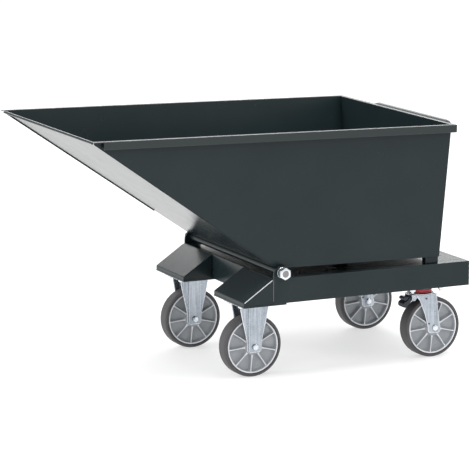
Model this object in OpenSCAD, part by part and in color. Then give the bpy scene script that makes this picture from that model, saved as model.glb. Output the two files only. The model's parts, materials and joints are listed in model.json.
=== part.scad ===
// Tipping skip cart on four castors.
// Frame: +Z up, floor at z = 0, spout towards -X, push handle towards +X, left side is -Y.
// The origin is the middle of the cart's footprint box, on the floor.

/* [Wheels] */
// Diameter of each wheel over its tyre
wheel_d = 200; // [160:5:250]
// Width of the tyre
tyre_w = 50; // [40:1:60]
// Radial thickness of the rubber tyre
tyre_t = 12; // [8:1:20]
// Number of ribs on a wheel centre
rib_count = 9; // [5:1:12]
// Diameter of the axle sleeve inside the wheel
sleeve_d = 20; // [15:1:24]

/* [Castors] */
// Height from the top of the wheel to the top of the castor plate
castor_rise = 45; // [40:1:70]
// Distance from front axle to rear axle
wheelbase = 655; // [520:5:800]
// Distance that a rear axle trails its swivel axis
trail = 36; // [30:1:60]
// Length of a castor plate, along the cart
plate_len = 140; // [130:1:160]
// Width of a castor plate, across the cart
plate_wid = 110; // [100:1:120]
// Thickness of a castor plate
plate_t = 4; // [3:0.5:6]
// Spacing of the plate holes along the cart
hole_len = 105; // [95:1:110]
// Spacing of the plate holes across the cart
hole_wid = 86; // [84:1:88]
// Diameter of the plate bolts
plate_bolt_d = 10; // [8:1:10]
// Clear width between the two legs of a castor
leg_gap = 60; // [56:1:70]
// Thickness of a castor leg
leg_t = 4; // [3:0.5:5]
// Diameter of the axle bolts
axle_d = 12; // [10:1:14]

/* [Chassis] */
// Width over the side rails
chassis_w = 682; // [600:2:830]
// Height of the rails and cross tubes
rail_h = 80; // [66:1:100]
// Width of a rail seen from above
rail_w = 40; // [30:1:50]
// Wall of the square tubes
tube_wall = 3; // [2:0.5:5]
// Size of the front cross tube along the cart
cross_len = 60; // [50:1:80]
// Distance from the front axle back to the front cross tube
cross_setback = 29; // [20:1:40]
// Distance the chassis runs past the rear axle
rear_overhang = 83; // [70:1:100]
// Length of the open ledge behind the skip
rear_ledge = 109; // [90:1:130]
// Thickness of the deck that closes the top of the chassis
deck_t = 3; // [2:0.5:5]
// Thickness of the mounting plates above the castors
base_t = 5; // [4:0.5:8]
// Distance a front foot reaches ahead of the front axle
foot_reach = 74.5; // [72:0.5:90]
// Width of a front foot
foot_w = 223; // [180:1:230]
// Height of the upright lip at the toe of a front foot
foot_lip = 12; // [8:0.5:20]
// Sheet thickness of the foot covers
foot_sheet = 4; // [3:0.5:5]

/* [Skip] */
// Width each side gains from the skip's floor to its rim
skip_flare = 54; // [30:1:80]
// Depth of the skip from rim to floor
skip_depth = 438.5; // [360:0.5:530]
// Angle of the spout plate above the skip floor
spout_angle = 33.9; // [30:0.1:41]
// Thickness of the skip's sheet steel
sheet = 3; // [2:0.5:5]
// Width of the turned-out rim
rim_flange = 16; // [12:1:30]
// Height of the turned-down rim edge
rim_lip = 25; // [18:1:40]
// Length at the spout where the rim has no turned-down edge
rim_cutback = 35; // [25:1:60]
// Slope at which the skip rests, rear end low
rest_slope = 1.06; // [0.5:0.01:1.5]
// Clearance between the skip floor and each pivot ear
ear_clearance = 7; // [5:0.5:10]

/* [Pivot] */
// Distance of the pivot behind the front axle
pivot_setback = 58; // [56:1:64]
// Height of the pivot above the rails
pivot_rise = 19; // [17:1:22]
// Distance from the pivot forward to the skip's lower front corner
corner_lead = 12.7; // [10:0.1:16]
// Diameter of the pivot shaft
pin_d = 20; // [16:1:20]
// Outside diameter of the pivot tube
pivot_tube_d = 24; // [23:1:26]
// Thickness of the pivot ears
ear_t = 6; // [5:1:8]
// Height of the ears above the pivot
ear_rise = 22; // [20:1:30]
// Distance each shaft end stands out from its ear
pin_overhang = 28; // [22:1:34]
// Width across the flats of the pivot nuts
nut_flats = 34; // [30:1:36]
// Thickness of the pivot nuts
nut_t = 8; // [6:1:12]
// Thickness of the washers against the ears
washer_t = 2; // [1.5:0.5:4]

/* [Push handle] */
// Width over the push handle
handle_w = 550; // [450:5:600]
// Diameter of the handle tube
handle_d = 27; // [22:1:32]
// Distance from the rear wall back to the middle of the handle tube
handle_reach = 72; // [60:1:82]
// Distance of the handle tube's middle below the rim
handle_drop = 20; // [16:1:24]
// Height difference between the handle and its feet on the wall
handle_fall = 62; // [56:1:80]
// Bend radius of the handle
handle_bend = 40; // [35:1:60]

/* [Brake] */
// Length of the brake pedal
pedal_len = 46; // [38:1:52]
// Width of the brake pedal
pedal_w = 40; // [30:1:44]
// Slope of the brake pedal when it is off
pedal_slope = 42; // [34:1:46]

/* [Fits] */
// Radial running clearance of shafts in their bores
run_gap = 0.05; // [0.02:0.01:0.1]
// Gap between parts that move past each other
part_gap = 0.3; // [0.2:0.1:0.5]

/* [Hidden] */
$fn = 72;
BIG = 3000;

wheel_r = wheel_d / 2;
castor_h = wheel_d + castor_rise;
rail_z = castor_h + base_t;
rail_top = rail_z + rail_h;
pivot_z = rail_top + pivot_rise;
wheel_y = (chassis_w - foot_w) / 2;
chassis_end = wheelbase + rear_overhang;
ear_inner = chassis_w / 2 - ear_t;

// skip outline in its own frame, with the pivot axis at the origin
floor_under = pivot_tube_d / 2;
rim_top = floor_under + skip_depth;
rear_wall = chassis_end - rear_ledge - pivot_setback;
corner_x = -corner_lead;
tip_x = corner_x - skip_depth / tan(spout_angle);
half_floor = ear_inner - ear_clearance - sheet;
half_rim = half_floor + skip_flare;
flare = (half_rim - half_floor) / (skip_depth - sheet);
rim_out = half_rim + rim_flange;

// place along X: the footprint box is centred on the origin
tip_reach = -(pivot_setback + tip_x * cos(rest_slope) + rim_top * sin(rest_slope));
rear_reach = max(chassis_end, wheelbase + wheel_r);
x_axle = (tip_reach - rear_reach) / 2;
x_rear_axle = x_axle + wheelbase;
x_swivel = x_rear_axle - trail;
x_pivot = x_axle + pivot_setback;
x_cross = x_axle + cross_setback;
x_rail = x_cross + cross_len;
x_end = x_axle + chassis_end;
x_toe = x_axle - foot_reach;

// wheel
rim_r = wheel_r - tyre_t;
ring_t = 7;
web_t = 8;
hub_r = 25;
bush_r = 15;
wheel_half = tyre_w / 2 - 1;
hub_half = leg_gap / 2 - 1;
rib_t = 3.5;
rib_half = wheel_half - 5;
tyre_round = 8;
shoulder_steps = 6;
rib_start = 14.6;
hub_lap = 5;
rib_lap = 2;

// castors, measured from the top of the plate downwards
axle_drop = castor_h - wheel_r;
leg_foot_w = 49;
leg_top_w = 101;
leg_drop = 17;
leg_chamfer = 6;
leg_shoulder = 30;
leg_waist = 8;
race_r = 40;
race_t = 10;
seal_r = 38;
seal_t = 13;
kingpin_d = 12;
kingpin_flats = 19;
kingpin_nut_t = 8;
head_r = 41;
head_t = 5;
fork_front = -28;
fork_rear = 43;
fork_foot = 22;
fork_hip = 42;
race_low = -plate_t - race_t;
seal_low = race_low - part_gap - seal_t;
head_low = seal_low - head_t;

// brake pedal
lug_t = 4;
lug_r = 7;
pedal_t = 7;
pedal_pin_d = 8;
pedal_boss_d = 12;
pedal_pin_x = -36;
pedal_pin_z = head_low - 9;
pedal_root = 1;

// bolts
hex_grow = 2 / sqrt(3);
axle_head = 8;
axle_hex = axle_d * 1.58;
bolt_gap = 0.2;
plate_nut_t = 8;
plate_stub = 3;
plate_head_t = 6.5;
plate_hex = plate_bolt_d * 1.6;
access_hole = 22;

// rests and rear plate
base_lap = 14;
base_lead = 10;
base_inset = 4;
foot_tail = 5;
block_len = 46;
block_w = 24;
tube_end_gap = 1;

TINT_STEEL = "#38424a";
TINT_ZINC = "#c3c9d0";
TINT_RUBBER = "#4b4846";
TINT_GREY = "#878a8e";
TINT_RED = "#b03a3e";
TINT_DARK = "#1b2230";

// ---- helpers ----

// Prism from points in the X-Z plane, w wide across Y and centred on y = 0
module xz_prism(points, w) {
    rotate([90, 0, 0])
        linear_extrude(w, center = true)
            polygon(points);
}

// Cylinder along Y, centred on the origin
module y_rod(d, len) {
    rotate([90, 0, 0])
        cylinder(d = d, h = len, center = true);
}

// Hexagon bar along Y, centred on the origin
module y_hex(flats, len) {
    rotate([90, 30, 0])
        cylinder(d = flats * hex_grow, h = len, center = true, $fn = 6);
}

// Moves its children to the left (-1) or right (+1) wheel of the front or rear axle
module at_front_wheel(side) {
    translate([x_axle, side * wheel_y, wheel_r])
        children();
}

module at_rear_wheel(side) {
    translate([x_rear_axle, side * wheel_y, wheel_r])
        children();
}

// Moves its children to the top of a castor
module at_front_castor(side) {
    translate([x_axle, side * wheel_y, castor_h])
        children();
}

module at_rear_castor(side) {
    translate([x_swivel, side * wheel_y, castor_h])
        children();
}

// Repeats its children at the four holes of a castor plate
module at_plate_holes() {
    for (x = [-1, 1] * hole_len / 2)
        for (y = [-1, 1] * hole_wid / 2)
            translate([x, y, 0])
                children();
}

// The skip's own frame: pivot axis at the origin, resting slope applied
module at_skip() {
    translate([x_pivot, 0, pivot_z])
        rotate([0, rest_slope, 0])
            children();
}

// ---- chassis ----

// Rectangular tube of the given size, open along the axis given as [1,0,0] or [0,1,0]
module box_tube(corner, size, axis) {
    through = axis * BIG;
    wall = ([1, 1, 1] - axis) * tube_wall;
    translate(corner)
        difference() {
            cube(size);
            translate(wall - through / 2)
                cube(size - 2 * wall + through);
        }
}

// Its lower wall has access holes for the heads of the castor bolts
module front_cross_tube() {
    size = [cross_len, 2 * ear_inner, rail_h];
    color(TINT_STEEL)
        difference() {
            box_tube([x_cross, -ear_inner, rail_z], size, [0, 1, 0]);
            for (side = [-1, 1])
                at_front_castor(side)
                    at_plate_holes()
                        cylinder(d = access_hole, h = 2 * base_t + 2 * plate_head_t);
        }
}

// Side rail, closed at its rear end by a welded cap
module rail(side) {
    y = side < 0 ? -chassis_w / 2 : chassis_w / 2 - rail_w;
    color(TINT_STEEL)
        union() {
            box_tube([x_rail, y, rail_z], [x_end - x_rail, rail_w, rail_h], [1, 0, 0]);
            translate([x_end - tube_wall, y, rail_z])
                cube([tube_wall, rail_w, rail_h]);
        }
}

module rear_cross_tube() {
    half = chassis_w / 2 - rail_w;
    color(TINT_STEEL)
        box_tube([x_end - rail_w, -half, rail_z], [rail_w, 2 * half, rail_h], [0, 1, 0]);
}

// Closes the chassis from the front cross tube to the rear one
module chassis_deck() {
    half = chassis_w / 2 - rail_w;
    color(TINT_STEEL)
        translate([x_rail, -half, rail_top - deck_t])
            cube([x_end - rail_w - x_rail, 2 * half, deck_t]);
}

// Carries the rear castors; the castor holes are drilled through it
module rear_base_plate() {
    half = chassis_w / 2 - rail_w + base_lap;
    front = x_swivel - plate_len / 2 - base_lead;
    color(TINT_STEEL)
        difference() {
            translate([front, -half, castor_h])
                cube([x_end - base_inset - front, 2 * half, base_t]);
            for (side = [-1, 1])
                at_rear_castor(side)
                    at_plate_holes()
                        cylinder(d = plate_bolt_d + 2 * bolt_gap, h = 4 * base_t, center = true);
        }
}

module foot_base(side) {
    y = side < 0 ? -chassis_w / 2 : chassis_w / 2 - foot_w;
    color(TINT_STEEL)
        difference() {
            translate([x_toe, y, castor_h])
                cube([foot_reach + plate_len / 2 + foot_tail, foot_w, base_t]);
            at_front_castor(side)
                at_plate_holes()
                    cylinder(d = plate_bolt_d + 2 * bolt_gap, h = 4 * base_t, center = true);
        }
}

// Wedge cover in front of the cross tube, open below and behind
module foot_cover(side) {
    y = side * wheel_y;
    run = foot_reach + cross_setback;
    rise = rail_h - foot_lip;
    angle = atan(rise / run);
    inner_toe = foot_lip - foot_sheet / cos(angle) + foot_sheet * tan(angle);
    color(TINT_STEEL)
        translate([x_toe, y, rail_z])
            difference() {
                xz_prism([[0, 0], [run, 0], [run, rail_h], [0, foot_lip]], foot_w);
                xz_prism([
                    [foot_sheet, -1],
                    [run + 1, -1],
                    [run + 1, rail_h - foot_sheet / cos(angle) + tan(angle)],
                    [foot_sheet, inner_toe]
                ], foot_w - 2 * foot_sheet);
            }
}

// Plate that closes the cross tube's end and carries the pivot
module pivot_ear(side) {
    arc_x = x_cross + cross_len / 2;
    arc_z = pivot_z + ear_rise - cross_len / 2;
    color(TINT_STEEL)
        translate([0, side * (chassis_w - ear_t) / 2, 0])
            difference() {
                union() {
                    translate([x_cross, -ear_t / 2, rail_z])
                        cube([cross_len, ear_t, arc_z - rail_z]);
                    translate([arc_x, 0, arc_z])
                        y_rod(cross_len, ear_t);
                }
                translate([x_pivot, 0, pivot_z])
                    y_rod(pin_d, 2 * ear_t);
            }
}

// ---- pivot hardware ----

// Held by the ears; the skip's pivot tube turns on it
module pivot_shaft() {
    color(TINT_ZINC)
        translate([x_pivot, 0, pivot_z])
            y_rod(pin_d, chassis_w + 2 * pin_overhang);
}

module pivot_washers() {
    color(TINT_ZINC)
        for (side = [-1, 1])
            translate([x_pivot, side * (chassis_w + washer_t) / 2, pivot_z])
                difference() {
                    y_rod(nut_flats, washer_t);
                    y_rod(pin_d + 2 * run_gap, 2 * washer_t);
                }
}

module pivot_nuts() {
    color(TINT_ZINC)
        for (side = [-1, 1])
            translate([x_pivot, side * (chassis_w / 2 + pin_overhang - 1 - nut_t / 2), pivot_z])
                difference() {
                    y_hex(nut_flats, nut_t);
                    y_rod(pin_d, 2 * nut_t);
                }
}

// ---- skip ----

// Everything between the two side walls, each wall moved outwards by grow
module between_walls(grow) {
    low = floor_under - BIG / 4;
    high = rim_top + BIG / 4;
    half_low = half_rim + grow - flare * (rim_top - low);
    half_high = half_rim + grow + flare * (high - rim_top);
    rotate([90, 0, 90])
        linear_extrude(BIG, center = true)
            polygon([
                [-half_low, low], [half_low, low],
                [half_high, high], [-half_high, high]
            ]);
}

SPOUT_TIP = [tip_x, rim_top];
SPOUT_TIP_IN = [tip_x + sheet / sin(spout_angle), rim_top];
CORNER = [corner_x, floor_under];
CORNER_IN = [corner_x + sheet * tan(spout_angle / 2), floor_under + sheet];
HEEL = [rear_wall + sheet, floor_under];
HEEL_IN = [rear_wall, floor_under + sheet];
REAR_TOP = [rear_wall + sheet, rim_top];
REAR_TOP_IN = [rear_wall, rim_top];

// One sheet of the skip between the side walls
module cross_sheet(points) {
    color(TINT_STEEL)
        at_skip()
            intersection() {
                xz_prism(points, 2 * rim_out);
                between_walls(0);
            }
}

module spout_sheet() {
    cross_sheet([SPOUT_TIP, CORNER, CORNER_IN, SPOUT_TIP_IN]);
}

module floor_sheet() {
    cross_sheet([CORNER, HEEL, HEEL_IN, CORNER_IN]);
}

module rear_sheet() {
    cross_sheet([HEEL, REAR_TOP, REAR_TOP_IN, HEEL_IN]);
}

module side_sheet(side) {
    color(TINT_STEEL)
        at_skip()
            intersection() {
                xz_prism([SPOUT_TIP, CORNER, HEEL, REAR_TOP], 2 * rim_out);
                difference() {
                    between_walls(sheet);
                    between_walls(0);
                }
                translate([0, side * BIG / 2, 0])
                    cube(BIG, center = true);
            }
}

module rim_side(side) {
    rim_end = rear_wall + rim_flange;
    color(TINT_STEEL)
        at_skip()
            mirror([0, side < 0 ? 1 : 0, 0]) {
                translate([tip_x, half_rim + sheet, rim_top - sheet])
                    cube([rim_end - tip_x, rim_flange - sheet, sheet]);
                translate([tip_x + rim_cutback, rim_out - sheet, rim_top - rim_lip])
                    cube([rim_end - tip_x - rim_cutback, sheet, rim_lip]);
            }
}

module rim_rear() {
    half = half_rim + sheet;
    color(TINT_STEEL)
        at_skip() {
            translate([rear_wall + sheet, -half, rim_top - sheet])
                cube([rim_flange - sheet, 2 * half, sheet]);
            translate([rear_wall + rim_flange - sheet, -half, rim_top - rim_lip])
                cube([sheet, 2 * half, rim_lip]);
        }
}

// Tube under the skip's lower front corner that turns on the pivot shaft
module pivot_tube() {
    color(TINT_STEEL)
        translate([x_pivot, 0, pivot_z])
            difference() {
                y_rod(pivot_tube_d, 2 * (ear_inner - tube_end_gap));
                y_rod(pin_d + 2 * run_gap, chassis_w);
            }
}

// Block under the skip's heel that stands on the rail
module rest_block(side) {
    block_x = rear_wall - block_len;
    block_y = chassis_w / 2 - rail_w + block_w / 2 + tube_end_gap;
    color(TINT_STEEL)
        difference() {
            at_skip()
                translate([block_x, side * block_y - block_w / 2, floor_under - rail_h / 2])
                    cube([block_len, block_w, rail_h / 2]);
            translate([-BIG / 2, -BIG / 2, rail_top + part_gap - BIG])
                cube(BIG);
        }
}

// Bent tube in one sloping plane: two legs from the rear wall, two bends and the grip
module push_handle() {
    tube_r = handle_d / 2;
    straight = (handle_w - handle_d) / 2 - handle_bend;
    grip_x = rear_wall + handle_reach;
    grip_z = rim_top - handle_drop;
    slope = atan(handle_fall / handle_reach);
    leg = norm([handle_fall, handle_reach]) - handle_bend;
    color(TINT_STEEL)
        at_skip()
            intersection() {
                translate([grip_x, 0, grip_z])
                    rotate([0, -slope, 0]) {
                        y_rod(handle_d, 2 * straight);
                        for (side = [-1, 1]) {
                            translate([-handle_bend, side * straight, 0])
                                rotate([0, 0, side < 0 ? -90 : 0])
                                    rotate_extrude(angle = 90)
                                        translate([handle_bend, 0])
                                            circle(tube_r);
                            translate([-handle_bend, side * (straight + handle_bend), 0])
                                rotate([0, -90, 0])
                                    cylinder(r = tube_r, h = leg + handle_d);
                        }
                    }
                translate([rear_wall + sheet, -BIG / 2, -BIG / 2])
                    cube(BIG);
            }
}

// ---- wheels ----

// Points along an arc in the profile plane
function arc_points(at, r, from, to) = [
    for (i = [0 : shoulder_steps])
        let (a = from + (to - from) * i / shoulder_steps)
            at + r * [cos(a), sin(a)]
];

module tyre() {
    half = tyre_w / 2;
    shoulder = half - tyre_round;
    profile = concat(
        [[rim_r, -half]],
        arc_points([wheel_r - tyre_round, -shoulder], tyre_round, -90, 0),
        arc_points([wheel_r - tyre_round, shoulder], tyre_round, 0, 90),
        [[rim_r, half]]
    );
    color(TINT_RUBBER)
        rotate([90, 0, 0])
            rotate_extrude()
                polygon(profile);
}

module wheel_centre() {
    color(TINT_GREY)
        difference() {
            union() {
                rotate([90, 0, 0])
                    rotate_extrude() {
                        translate([rim_r - ring_t, -wheel_half])
                            square([ring_t, 2 * wheel_half]);
                        translate([hub_r - hub_lap, -web_t / 2])
                            square([rim_r - ring_t - hub_r + 2 * hub_lap, web_t]);
                        translate([bush_r, -hub_half])
                            square([hub_r - bush_r, 2 * hub_half]);
                    }
                for (i = [0 : rib_count - 1])
                    rotate([0, rib_start + i * 360 / rib_count, 0])
                        translate([hub_r - rib_lap, -rib_half, -rib_t / 2])
                            cube([rim_r - ring_t - hub_r + 2 * rib_lap, 2 * rib_half, rib_t]);
            }
            y_rod(2 * bush_r, 2 * leg_gap);
        }
}

module wheel_bush() {
    color(TINT_DARK)
        difference() {
            y_rod(2 * bush_r, 2 * hub_half);
            y_rod(sleeve_d + 2 * run_gap, 2 * leg_gap);
        }
}

// Sleeve between the legs, with the axle bolt, its head and its nut
module wheel_axle() {
    leg_out = leg_gap / 2 + leg_t;
    color(TINT_ZINC) {
        y_rod(sleeve_d, leg_gap);
        y_rod(axle_d, 2 * (leg_out + axle_head));
        for (end = [-1, 1])
            translate([0, end * (leg_out + axle_head / 2), 0])
                y_hex(axle_hex, axle_head);
    }
}

// ---- castor frames ----

module castor_plate(t) {
    difference() {
        translate([-plate_len / 2, -plate_wid / 2, -t])
            cube([plate_len, plate_wid, t]);
        at_plate_holes()
            cylinder(d = plate_bolt_d + 2 * bolt_gap, h = 4 * t, center = true);
    }
}

module leg_holes() {
    y_rod(axle_d, 2 * plate_wid);
}

// Plate with two fixed legs, drawn from the top of the plate downwards
module fixed_bracket() {
    half_top = leg_top_w / 2;
    half_foot = leg_foot_w / 2;
    half_toe = half_foot - leg_chamfer;
    foot = -axle_drop - leg_drop;
    color(TINT_ZINC)
        difference() {
            union() {
                castor_plate(plate_t);
                for (side = [-1, 1])
                    translate([0, side * (leg_gap + leg_t) / 2, 0])
                        xz_prism([
                            [-half_top, -plate_t], [half_top, -plate_t],
                            [half_top - leg_chamfer, -plate_t - leg_shoulder],
                            [half_foot, -axle_drop + leg_waist],
                            [half_foot, foot + leg_chamfer],
                            [half_toe, foot], [-half_toe, foot],
                            [-half_foot, foot + leg_chamfer],
                            [-half_foot, -axle_drop + leg_waist],
                            [-half_top + leg_chamfer, -plate_t - leg_shoulder]
                        ], leg_t);
            }
            translate([0, 0, -axle_drop])
                leg_holes();
        }
}

module front_axle(side) {
    at_front_wheel(side)
        wheel_axle();
}

module swivel_plate() {
    color(TINT_ZINC)
        difference() {
            union() {
                castor_plate(plate_t);
                translate([0, 0, race_low])
                    cylinder(r = race_r, h = race_t);
            }
            translate([0, 0, race_low - 1])
                cylinder(d = kingpin_d, h = 2 - race_low);
        }
}

// Red seal that covers the balls between plate and fork; it turns with the fork
module seal_ring() {
    color(TINT_RED)
        translate([0, 0, seal_low])
            difference() {
                cylinder(r = seal_r, h = seal_t);
                translate([0, 0, -1])
                    cylinder(d = kingpin_d + 6, h = seal_t + 2);
            }
}

// Fixed in the swivel plate; the fork turns on it
module kingpin() {
    nut_low = head_low - part_gap - kingpin_nut_t;
    color(TINT_ZINC) {
        translate([0, 0, nut_low])
            cylinder(d = kingpin_d, h = -nut_low);
        translate([0, 0, nut_low])
            cylinder(d = kingpin_flats * hex_grow, h = kingpin_nut_t, $fn = 6);
    }
}

module fork_leg() {
    foot = -axle_drop - leg_drop;
    toe = fork_foot - leg_chamfer;
    xz_prism([
        [fork_front, seal_low], [fork_rear, seal_low],
        [trail + fork_foot, -axle_drop + leg_waist],
        [trail + fork_foot, foot + leg_chamfer],
        [trail + toe, foot], [trail - toe, foot],
        [trail - fork_foot, foot + leg_chamfer],
        [trail - fork_foot, -axle_drop + leg_waist],
        [fork_front / 3, head_low - fork_hip], [fork_front + lug_t, head_low - lug_r]
    ], leg_t);
}

// Lug under the fork head that holds one end of the pedal pin
module pedal_lug() {
    xz_prism([
        [pedal_pin_x - lug_r, pedal_pin_z - lug_r], [pedal_pin_x + lug_r, pedal_pin_z - lug_r],
        [fork_front + lug_r, seal_low], [pedal_pin_x - lug_r, seal_low]
    ], lug_t);
}

module swivel_fork() {
    color(TINT_ZINC)
        difference() {
            union() {
                translate([0, 0, head_low])
                    cylinder(r = head_r, h = head_t);
                translate([fork_front, -leg_gap / 2 - leg_t, head_low])
                    cube([fork_rear - fork_front, leg_gap + 2 * leg_t, head_t]);
                for (side = [-1, 1]) {
                    translate([0, side * (leg_gap + leg_t) / 2, 0])
                        fork_leg();
                    translate([0, side * (pedal_w / 2 + tube_end_gap + lug_t / 2), 0])
                        pedal_lug();
                }
            }
            translate([pedal_pin_x, 0, pedal_pin_z])
                y_rod(pedal_pin_d + 2 * run_gap, 2 * pedal_w);
            translate([0, 0, head_low - 1])
                cylinder(d = kingpin_d + 2 * run_gap, h = head_t + 2);
            translate([trail, 0, -axle_drop])
                leg_holes();
        }
}

module rear_axle(side) {
    at_rear_wheel(side)
        wheel_axle();
}

// Foot pedal of the castor brake; its pin turns in the fork's two lugs
module brake_pedal() {
    color(TINT_DARK)
        translate([pedal_pin_x, 0, pedal_pin_z]) {
            y_rod(pedal_pin_d, pedal_w + 2 * tube_end_gap + 2 * lug_t);
            y_rod(pedal_boss_d, pedal_w);
            rotate([0, -pedal_slope, 0])
                translate([-pedal_len, -pedal_w / 2 + tube_end_gap, -pedal_t / 2])
                    cube([pedal_len + pedal_root, pedal_w - 2 * tube_end_gap, pedal_t]);
        }
}

module plate_bolt() {
    nut_low = -plate_t - plate_nut_t;
    color(TINT_ZINC) {
        translate([0, 0, nut_low - plate_stub])
            cylinder(d = plate_bolt_d, h = plate_stub - nut_low + base_t);
        translate([0, 0, nut_low])
            cylinder(d = plate_hex * hex_grow, h = plate_nut_t, $fn = 6);
        translate([0, 0, base_t])
            cylinder(d = plate_hex * hex_grow, h = plate_head_t, $fn = 6);
    }
}

module front_plate_bolts() {
    for (side = [-1, 1])
        at_front_castor(side)
            at_plate_holes()
                plate_bolt();
}

module rear_plate_bolts() {
    for (side = [-1, 1])
        at_rear_castor(side)
            at_plate_holes()
                plate_bolt();
}

front_cross_tube();
rail(-1);  // rail_left
rail(1);  // rail_right
rear_cross_tube();
chassis_deck();
rear_base_plate();
foot_base(-1);  // foot_base_left
foot_base(1);  // foot_base_right
foot_cover(-1);  // foot_cover_left
foot_cover(1);  // foot_cover_right
pivot_ear(-1);  // pivot_ear_left
pivot_ear(1);  // pivot_ear_right
pivot_shaft();
pivot_washers();
pivot_nuts();
side_sheet(-1);  // side_sheet_left
side_sheet(1);  // side_sheet_right
spout_sheet();
floor_sheet();
rear_sheet();
rim_side(-1);  // rim_left
rim_side(1);  // rim_right
rim_rear();
pivot_tube();
rest_block(-1);  // rest_block_left
rest_block(1);  // rest_block_right
push_handle();
at_front_castor(-1) fixed_bracket();  // fixed_bracket_left
at_front_castor(1) fixed_bracket();  // fixed_bracket_right
front_axle(-1);  // front_axle_left
front_axle(1);  // front_axle_right
at_front_wheel(-1) tyre();  // front_tyre_left
at_front_wheel(1) tyre();  // front_tyre_right
at_front_wheel(-1) wheel_centre();  // front_centre_left
at_front_wheel(1) wheel_centre();  // front_centre_right
at_front_wheel(-1) wheel_bush();  // front_bush_left
at_front_wheel(1) wheel_bush();  // front_bush_right
front_plate_bolts();
at_rear_castor(-1) swivel_plate();  // swivel_plate_left
at_rear_castor(1) swivel_plate();  // swivel_plate_right
at_rear_castor(-1) seal_ring();  // seal_ring_left
at_rear_castor(1) seal_ring();  // seal_ring_right
at_rear_castor(-1) kingpin();  // kingpin_left
at_rear_castor(1) kingpin();  // kingpin_right
at_rear_castor(-1) swivel_fork();  // swivel_fork_left
at_rear_castor(1) swivel_fork();  // swivel_fork_right
rear_axle(-1);  // rear_axle_left
rear_axle(1);  // rear_axle_right
at_rear_wheel(-1) tyre();  // rear_tyre_left
at_rear_wheel(1) tyre();  // rear_tyre_right
at_rear_wheel(-1) wheel_centre();  // rear_centre_left
at_rear_wheel(1) wheel_centre();  // rear_centre_right
at_rear_wheel(-1) wheel_bush();  // rear_bush_left
at_rear_wheel(1) wheel_bush();  // rear_bush_right
at_rear_castor(-1) brake_pedal();  // brake_pedal_left
at_rear_castor(1) brake_pedal();  // brake_pedal_right
rear_plate_bolts();
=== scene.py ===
"""Looks of a tipping skip cart on four castors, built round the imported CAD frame.

Local shapes are written in millimetres and placed at the joints' points; the scene is in metres.
Frame: +Z up, spout towards -X, push handle towards +X, left side is -Y.
"""
import json
import math

import bmesh
import bpy
from mathutils import Euler, Matrix, Vector


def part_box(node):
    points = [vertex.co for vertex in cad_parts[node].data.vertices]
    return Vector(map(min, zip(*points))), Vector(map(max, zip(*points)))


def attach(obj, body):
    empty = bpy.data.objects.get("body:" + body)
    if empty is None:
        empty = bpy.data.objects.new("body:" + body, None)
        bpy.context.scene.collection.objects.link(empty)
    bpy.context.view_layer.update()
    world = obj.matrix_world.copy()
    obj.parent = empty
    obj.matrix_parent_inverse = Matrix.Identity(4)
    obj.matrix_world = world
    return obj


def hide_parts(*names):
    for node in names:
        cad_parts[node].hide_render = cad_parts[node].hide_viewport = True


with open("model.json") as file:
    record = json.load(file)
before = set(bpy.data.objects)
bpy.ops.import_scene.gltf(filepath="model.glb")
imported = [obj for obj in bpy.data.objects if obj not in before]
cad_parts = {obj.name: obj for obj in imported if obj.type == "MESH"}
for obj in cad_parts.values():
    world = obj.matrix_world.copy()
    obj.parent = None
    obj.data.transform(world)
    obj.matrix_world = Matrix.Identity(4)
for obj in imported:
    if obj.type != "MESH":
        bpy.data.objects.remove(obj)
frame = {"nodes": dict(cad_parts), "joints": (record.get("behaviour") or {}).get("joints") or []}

NODES = frame["nodes"]
JOINT = {j["name"]: Vector(j["pos_m"]) for j in frame["joints"]}
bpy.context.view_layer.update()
MM = 0.001
SIDES = (("left", -1), ("right", 1))
ORIGIN = Vector((0, 0, 0))

# ---------------------------------------------------------------- materials


def new_material(name):
    """A node material with its shader and the piece's object coordinates."""
    mat = bpy.data.materials.new(name)
    mat.use_nodes = True
    tree = mat.node_tree
    shader = tree.nodes["Principled BSDF"]
    coords = tree.nodes.new("ShaderNodeTexCoord").outputs["Object"]
    return mat, tree, shader, coords


def noise(tree, coords, scale, detail=4.0, roughness=0.55, stretch=None):
    """A noise texture's factor, at scale features per metre, stretched along an axis if asked."""
    if stretch:
        mapping = tree.nodes.new("ShaderNodeMapping")
        mapping.inputs["Scale"].default_value = stretch
        tree.links.new(coords, mapping.inputs["Vector"])
        coords = mapping.outputs["Vector"]
    node = tree.nodes.new("ShaderNodeTexNoise")
    node.inputs["Scale"].default_value = scale
    node.inputs["Detail"].default_value = detail
    node.inputs["Roughness"].default_value = roughness
    tree.links.new(coords, node.inputs["Vector"])
    return node.outputs["Fac"]


def ramp(tree, value, stops):
    """A colour from a factor, through (position, colour) stops."""
    node = tree.nodes.new("ShaderNodeValToRGB")
    elements = node.color_ramp.elements
    while len(elements) < len(stops):
        elements.new(0.5)
    for element, (position, colour) in zip(elements, stops):
        element.position = position
        element.color = (*colour, 1.0)
    tree.links.new(value, node.inputs["Fac"])
    return node.outputs["Color"]


def remap(tree, value, low, high, from_low=0.3, from_high=0.7):
    """Stretches a factor, clamped, so that from_low gives low and from_high gives high."""
    node = tree.nodes.new("ShaderNodeMapRange")
    for key, number in (("From Min", from_low), ("From Max", from_high), ("To Min", low), ("To Max", high)):
        node.inputs[key].default_value = number
    tree.links.new(value, node.inputs["Value"])
    return node.outputs["Result"]


def mix(tree, factor, a, b):
    """Blends colour a to colour b; either is a socket or three numbers."""
    node = tree.nodes.new("ShaderNodeMix")
    node.data_type = "RGBA"
    colour_inputs = [s for s in node.inputs if s.type == "RGBA"]
    tree.links.new(factor, node.inputs[0])
    for socket, value in zip(colour_inputs, (a, b)):
        if isinstance(value, tuple):
            socket.default_value = (*value, 1.0)
        else:
            tree.links.new(value, socket)
    return [s for s in node.outputs if s.type == "RGBA"][0]


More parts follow.
